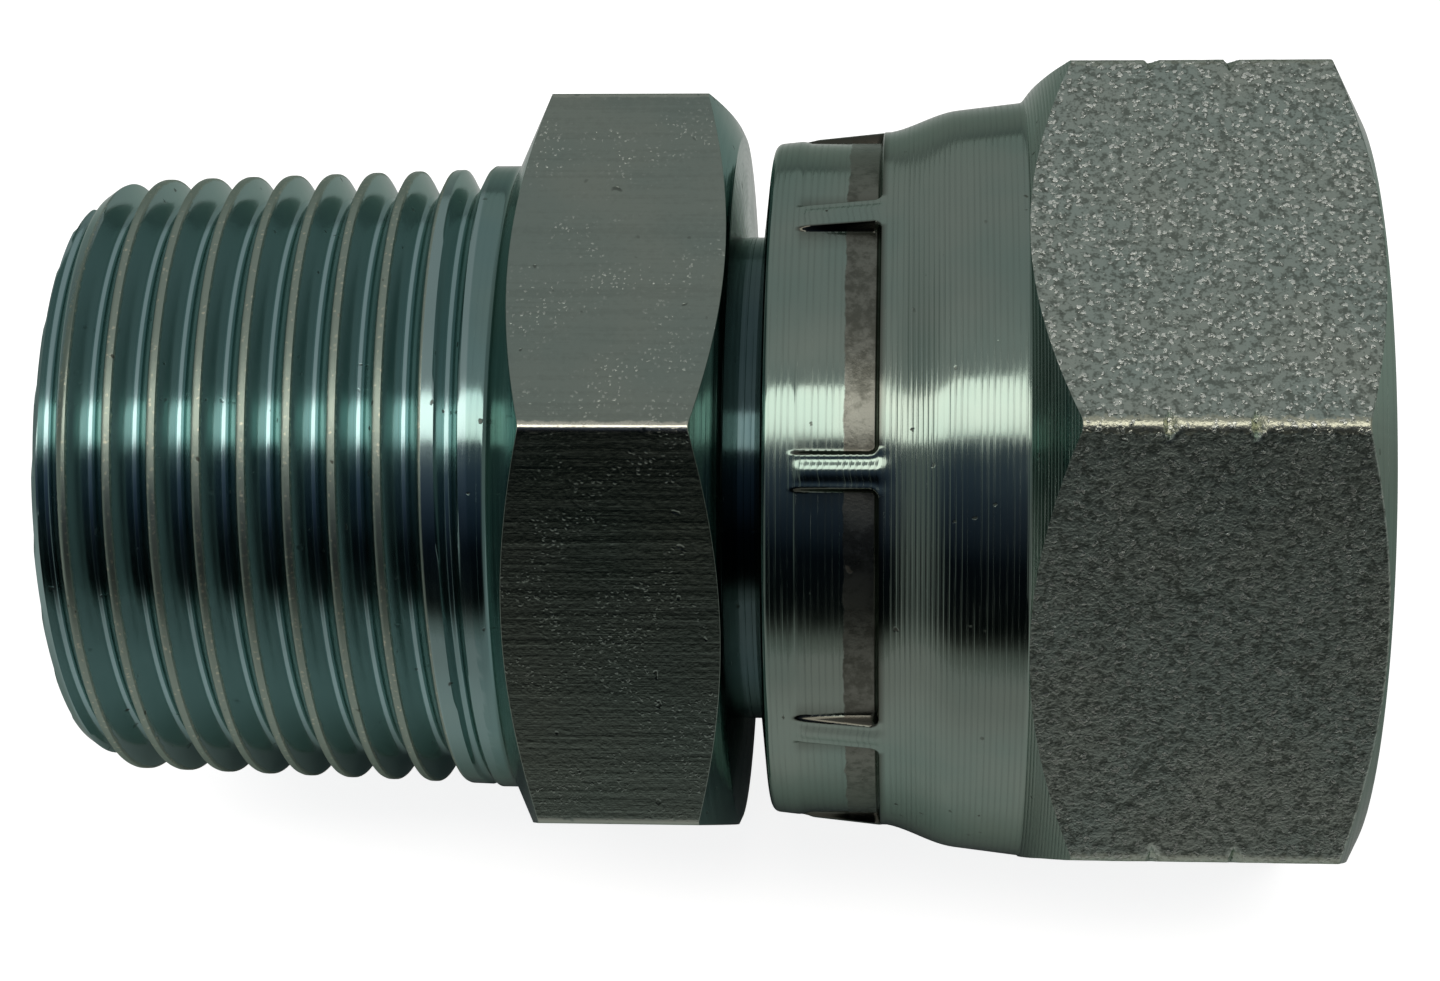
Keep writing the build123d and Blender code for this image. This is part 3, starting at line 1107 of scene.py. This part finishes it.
@dataclass
class SwivelNut:
    """The swivel nut: crimped collar, barrel, forged hexagon and the female thread inside."""

    start: float = 36.76 * MM
    rim_x: float = 37.326 * MM
    collar_radius: float = 18.25 * MM
    rim_round: float = 0.45 * MM
    crimp_x: float = 43.16 * MM
    crimp_radius: float = 18.85 * MM
    flare_x: float = 47.06 * MM
    flare_radius: float = 20.05 * MM
    barrel_x: float = 50.46 * MM
    barrel_radius: float = 20.45 * MM
    back_slope: float = math.tan(math.radians(36.7))
    front_slope: float = math.tan(math.radians(27))
    face_radius: float = 20.1 * MM
    end: float = 67.86 * MM
    across_flats: float = 41.0 * MM
    corner_round: float = 0.7 * MM
    edge_round: float = 0.15 * MM
    mouth_radius: float = 17.0 * MM
    minor_radius: float = 15.1455 * MM
    major_radius: float = 16.6245 * MM
    pitch: float = 2.309 * MM
    thread_start: float = 53.653 * MM
    thread_phase: float = 54.0 * MM
    rows_per_pitch: int = 8
    relief_radius: float = 16.9 * MM
    relief_length: float = 4.2 * MM
    chamber_radius: float = 15.6 * MM
    bore_radius: float = 13.35 * MM
    seat_x: float = 43.8 * MM
    columns: int = 480

    def angles(self, marks: CrimpMarks) -> np.ndarray:
        """Directions round the axis, closer together at the corners and at the ends of the jaw marks."""
        places = [(index * math.pi / 3, math.radians(3.0), 7.0) for index in range(6)]
        for index in range(marks.jaws):
            middle = marks.first + index * math.tau / marks.jaws
            places += [(middle + side * marks.span / 2, math.radians(1.6), 12.0) for side in (-1, 1)]
        return spread_angles(self.columns, places)

    def hollow(self, angles: np.ndarray, finish: bpy.types.Material) -> bpy.types.Object:
        """Make the female thread with the relief behind it and the mouth's chamfer.

        Args:
            angles: Directions round the axis.
            finish: Their material.

        Returns:
            An open surface from the relief to the mouth.
        """
        relief_end = self.thread_start - (self.relief_radius - self.minor_radius)
        mouth = self.end - (self.mouth_radius - self.minor_radius)
        stations = [
            (relief_end, relief_end, self.relief_radius),
            (self.thread_start, self.thread_start, self.minor_radius),
            (mouth, mouth, self.minor_radius),
            (self.end, self.end, self.mouth_radius),
        ]
        blank = winding_blank("bore", angles, stations, self.pitch, self.thread_phase, self.rows_per_pitch)
        thread = PipeThread(
            Side.INSIDE, self.pitch, self.pitch / 6, math.radians(55), self.major_radius, 0.0,
            self.thread_phase,
        )
        return thread.cut(blank, finish)

    def flare(self, count: int) -> list:
        """Points of the smooth curve from the collar to the barrel, in line with both at its ends."""
        first, last = Vector((self.crimp_x, self.crimp_radius)), Vector((self.flare_x, self.flare_radius))
        chord = (last - first).length
        collar = (first - Vector((self.rim_x, self.collar_radius))).normalized() * chord
        barrel = (Vector((self.barrel_x, self.barrel_radius)) - last).normalized() * chord
        points = []
        for share in np.linspace(0, 1, count):
            square, cube = share**2, share**3
            point = first * (2 * cube - 3 * square + 1) + collar * (cube - 2 * square + share)
            point += last * (3 * square - 2 * cube) + barrel * (cube - square)
            points.append((point.x, point.y))
        return points

    def outside(self, angles: np.ndarray, marks: CrimpMarks) -> bpy.types.Object:
        """Make the face, hexagon, barrel, flare and collar, and the collar's bore as far as the relief.

        Args:
            angles: Directions round the axis.
            marks: The jaw marks and nicks, which say where rows of faces lie closer.

        Returns:
            An open surface from the mouth to the relief, still without its marks.
        """
        reach = hexagon_radius(self.across_flats, self.corner_round, angles)
        front = self.end - (reach - self.face_radius) * self.front_slope
        back = self.barrel_x + (reach - self.barrel_radius) * self.back_slope
        line = Outline(angles)
        line.corner(self.end, self.mouth_radius)
        line.corner(self.end, self.face_radius, 0.15 * MM, 3)
        line.corner(front, reach, self.edge_round, 4, Zone.FLAT)
        lowest, highest = float(back.max()) + 0.05 * MM, float(front.min()) - 0.05 * MM
        shares = (np.array(marks.hexagon_rows(lowest, highest)) - lowest) / (highest - lowest)
        for share in shares[::-1]:
            line.corner(back + (front - back) * share, reach, zone=Zone.FLAT)
        line.corner(back, reach, self.edge_round, 4)
        line.corner(self.barrel_x, self.barrel_radius, 0.3 * MM, 3)
        line.curve(self.flare(14)[::-1])
        for x in marks.collar_rows(38.1 * MM)[1:]:
            share = (x - self.rim_x) / (self.crimp_x - self.rim_x)
            line.corner(x, self.collar_radius + share * (self.crimp_radius - self.collar_radius))
        line.corner(self.rim_x, self.collar_radius, self.rim_round, 6)
        line.corner(self.start, self.bore_radius, 0.1 * MM, 2)
        line.corner(self.seat_x, self.bore_radius)
        line.corner(self.seat_x + self.chamber_radius - self.bore_radius, self.chamber_radius)
        relief = self.thread_start - self.relief_length
        line.corner(relief, self.chamber_radius)
        line.corner(relief + self.relief_radius - self.chamber_radius, self.relief_radius)
        line.corner(self.thread_start - (self.relief_radius - self.minor_radius), self.relief_radius)
        return line.mesh("shell")

    def build(self) -> bpy.types.Object:
        """Make the piece, dress it and put it on its body."""
        marks = CrimpMarks()
        angles = self.angles(marks)
        turned, forged = GREY_GREEN.material(), FORGED.material()
        shell = self.outside(angles, marks)
        zones = np.zeros(len(shell.data.polygons), np.int32)
        shell.data.polygons.foreach_get("material_index", zones)
        marks.press(shell, turned)
        shell.data.polygons.foreach_set("material_index", zones)
        parts = [self.hollow(angles, turned), shell]
        piece = joined("swivel_nut_plated", parts, [turned, forged], SHARP)
        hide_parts("swivel_nut")
        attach(piece, "nut")
        return piece


@dataclass
class Studio:
    """The pale floor, the lights and the camera."""

    elevation: float = math.radians(53.93)
    yaw: float = 0.0682
    roll: float = -0.0059
    distance: float = 163.4479 * MM
    aside: float = -1.6242 * MM
    above: float = 0.7244 * MM
    middle_x: float = 32.5 * MM
    lens_mm: float = 74.03
    floor_z: float = -20.55 * MM
    floor_near: float = -0.26
    floor_far: float = 2.0
    strip_length: float = 1.0
    strip_width: float = 0.15
    strip_height: float = 0.5
    strip_power: float = 1.25
    strip_elevation: float = math.radians(75)
    strip_colour: Colour = (1.0, 0.92, 0.86)
    side_colour: Colour = (0.58, 0.62, 0.60)
    level: float = 0.45
    floor_shade: float = 0.66
    glow: float = 0.86
    mirrored_share: float = 0.18
    mirrored_from: float = 0.016
    mirrored_reach: float = 0.10

    def camera(self) -> None:
        """Stand the camera where it looks at the part as the photograph does."""
        turn = Matrix.Rotation(self.roll, 3, "Z") @ Matrix.Rotation(-self.yaw, 3, "Y")
        lean = Matrix.Rotation(math.pi / 2 - self.elevation, 3, "X")
        facing = lean @ turn.transposed()
        place = facing @ Vector((-self.aside, -self.above, self.distance)) + Vector((self.middle_x, 0, 0))
        data = bpy.data.cameras.new("camera")
        data.lens, data.sensor_width, data.sensor_fit = self.lens_mm, 36.0, "HORIZONTAL"
        data.clip_start, data.clip_end = 0.01, 20.0
        camera = bpy.data.objects.new("camera", data)
        bpy.context.scene.collection.objects.link(camera)
        camera.matrix_world = Matrix.Translation(place) @ facing.to_4x4()
        bpy.context.scene.camera = camera

    def floor(self) -> None:
        """Lay the pale floor, which glows to the camera and less so in the metal, and keeps the shadow."""
        z, front, back = self.floor_z, self.floor_near, self.floor_far
        corners = np.array([(-back, front, z), (back, front, z), (back, back, z), (-back, back, z)], float)
        floor = mesh_object("floor", corners, np.array([[0, 1, 2, 3]]))
        made = bpy.data.materials.new("pale_floor")
        graph = Graph(cleared(made))
        matt = graph.node("ShaderNodeBsdfDiffuse", None, {"Color": (self.floor_shade,) * 3 + (1.0,)})
        faint = graph.node("ShaderNodeEmission", None, {"Color": WHITE, "Strength": self.glow})
        path = graph.node("ShaderNodeLightPath")
        mirrored = path.beside("Is Glossy Ray") + path.beside("Is Transmission Ray")
        across = graph.split(graph.node("ShaderNodeTexCoord").beside("Object"))[1]
        # In the metal's reflections the floor glows only in a band along each side of the part and not
        # beneath it: a painted reflection, with painted shadow beneath the part.
        near = graph.ramped(abs(across), self.mirrored_reach, self.mirrored_reach * 0.3)
        beside = graph.ramped(abs(across), self.mirrored_from, self.mirrored_from * 2)
        seen = graph.least(path + mirrored * near * beside * self.mirrored_share, 1.0)
        bright = graph.node("ShaderNodeAddShader", None, {0: matt, 1: faint})
        mixed = graph.node("ShaderNodeMixShader", None, {0: seen, 1: matt, 2: bright})
        graph.node("ShaderNodeOutputMaterial", None, {"Surface": mixed})
        floor.data.materials.append(made)

    def world(self) -> None:
        """Light the part from all round, with a dark room on the camera's side and white for the camera."""
        world = bpy.data.worlds.new("studio")
        graph = Graph(cleared(world))
        bpy.context.scene.world = world
        x, y, z = graph.split(graph.node("ShaderNodeTexCoord"))
        height = graph.math("ARCTAN2", z, -y) * (180 / math.pi)
        lowest, highest = -30.0, 170.0
        # Degrees up from the front horizon, and the room's colour there.
        levels = [
            (-8, (0.70, 0.71, 0.67)), (-1.5, (0.46, 0.47, 0.44)), (2.5, (0.10, 0.105, 0.095)),
            (7, (0.006, 0.01, 0.01)), (28, (0.01, 0.015, 0.025)), (40, (0.06, 0.08, 0.13)),
            (56, (0.14, 0.18, 0.27)), (64, (0.28, 0.32, 0.38)), (76, (0.9, 0.9, 0.92)),
            (94, (1.15, 1.13, 1.12)), (112, (1.0, 1.0, 1.0)),
        ]
        stops = [((place - lowest) / (highest - lowest), colour) for place, colour in levels]
        place = (height - lowest) / (highest - lowest)
        room = graph.node("ShaderNodeValToRGB", {"stops": stops}, {"Fac": place})
        room = graph.blend(graph.ramped(abs(x), 0.45, 0.85), room, self.side_colour)
        seen = graph.node("ShaderNodeLightPath")
        room_light = graph.node("ShaderNodeBackground", None, {"Color": room, "Strength": self.level})
        white = graph.node("ShaderNodeBackground", None, {"Color": WHITE, "Strength": 1.0})
        back = graph.node("ShaderNodeMixShader", None, {0: seen, 1: room_light, 2: white})
        graph.node("ShaderNodeOutputWorld", None, {"Surface": back})

    def lights(self) -> None:
        """Hang the long light that draws the bright line along the part."""
        data = bpy.data.lights.new("strip", "AREA")
        data.shape, data.size, data.size_y = "RECTANGLE", self.strip_length, self.strip_width
        data.energy, data.color = self.strip_power, self.strip_colour
        light = bpy.data.objects.new("strip", data)
        bpy.context.scene.collection.objects.link(light)
        away = Vector((0, -math.cos(self.strip_elevation), math.sin(self.strip_elevation)))
        light.location = Vector((self.middle_x, 0, 0)) + away * self.strip_height
        light.rotation_euler = away.to_track_quat("Z", "Y").to_euler()

    def build(self) -> None:
        """Set the whole studio up."""
        self.camera()
        self.floor()
        self.world()
        self.lights()
        bpy.context.scene.view_settings.view_transform = "Standard"


def main() -> None:
    """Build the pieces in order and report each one."""
    logging.basicConfig(level=logging.INFO, format="%(name)s: %(message)s")
    Studio().build()
    for assembly in (AdapterBody(), SwivelNut()):
        piece = assembly.build()
        LOG.info("%s: %d faces", piece.name, len(piece.data.polygons))


if __name__ == "__main__":
    main()
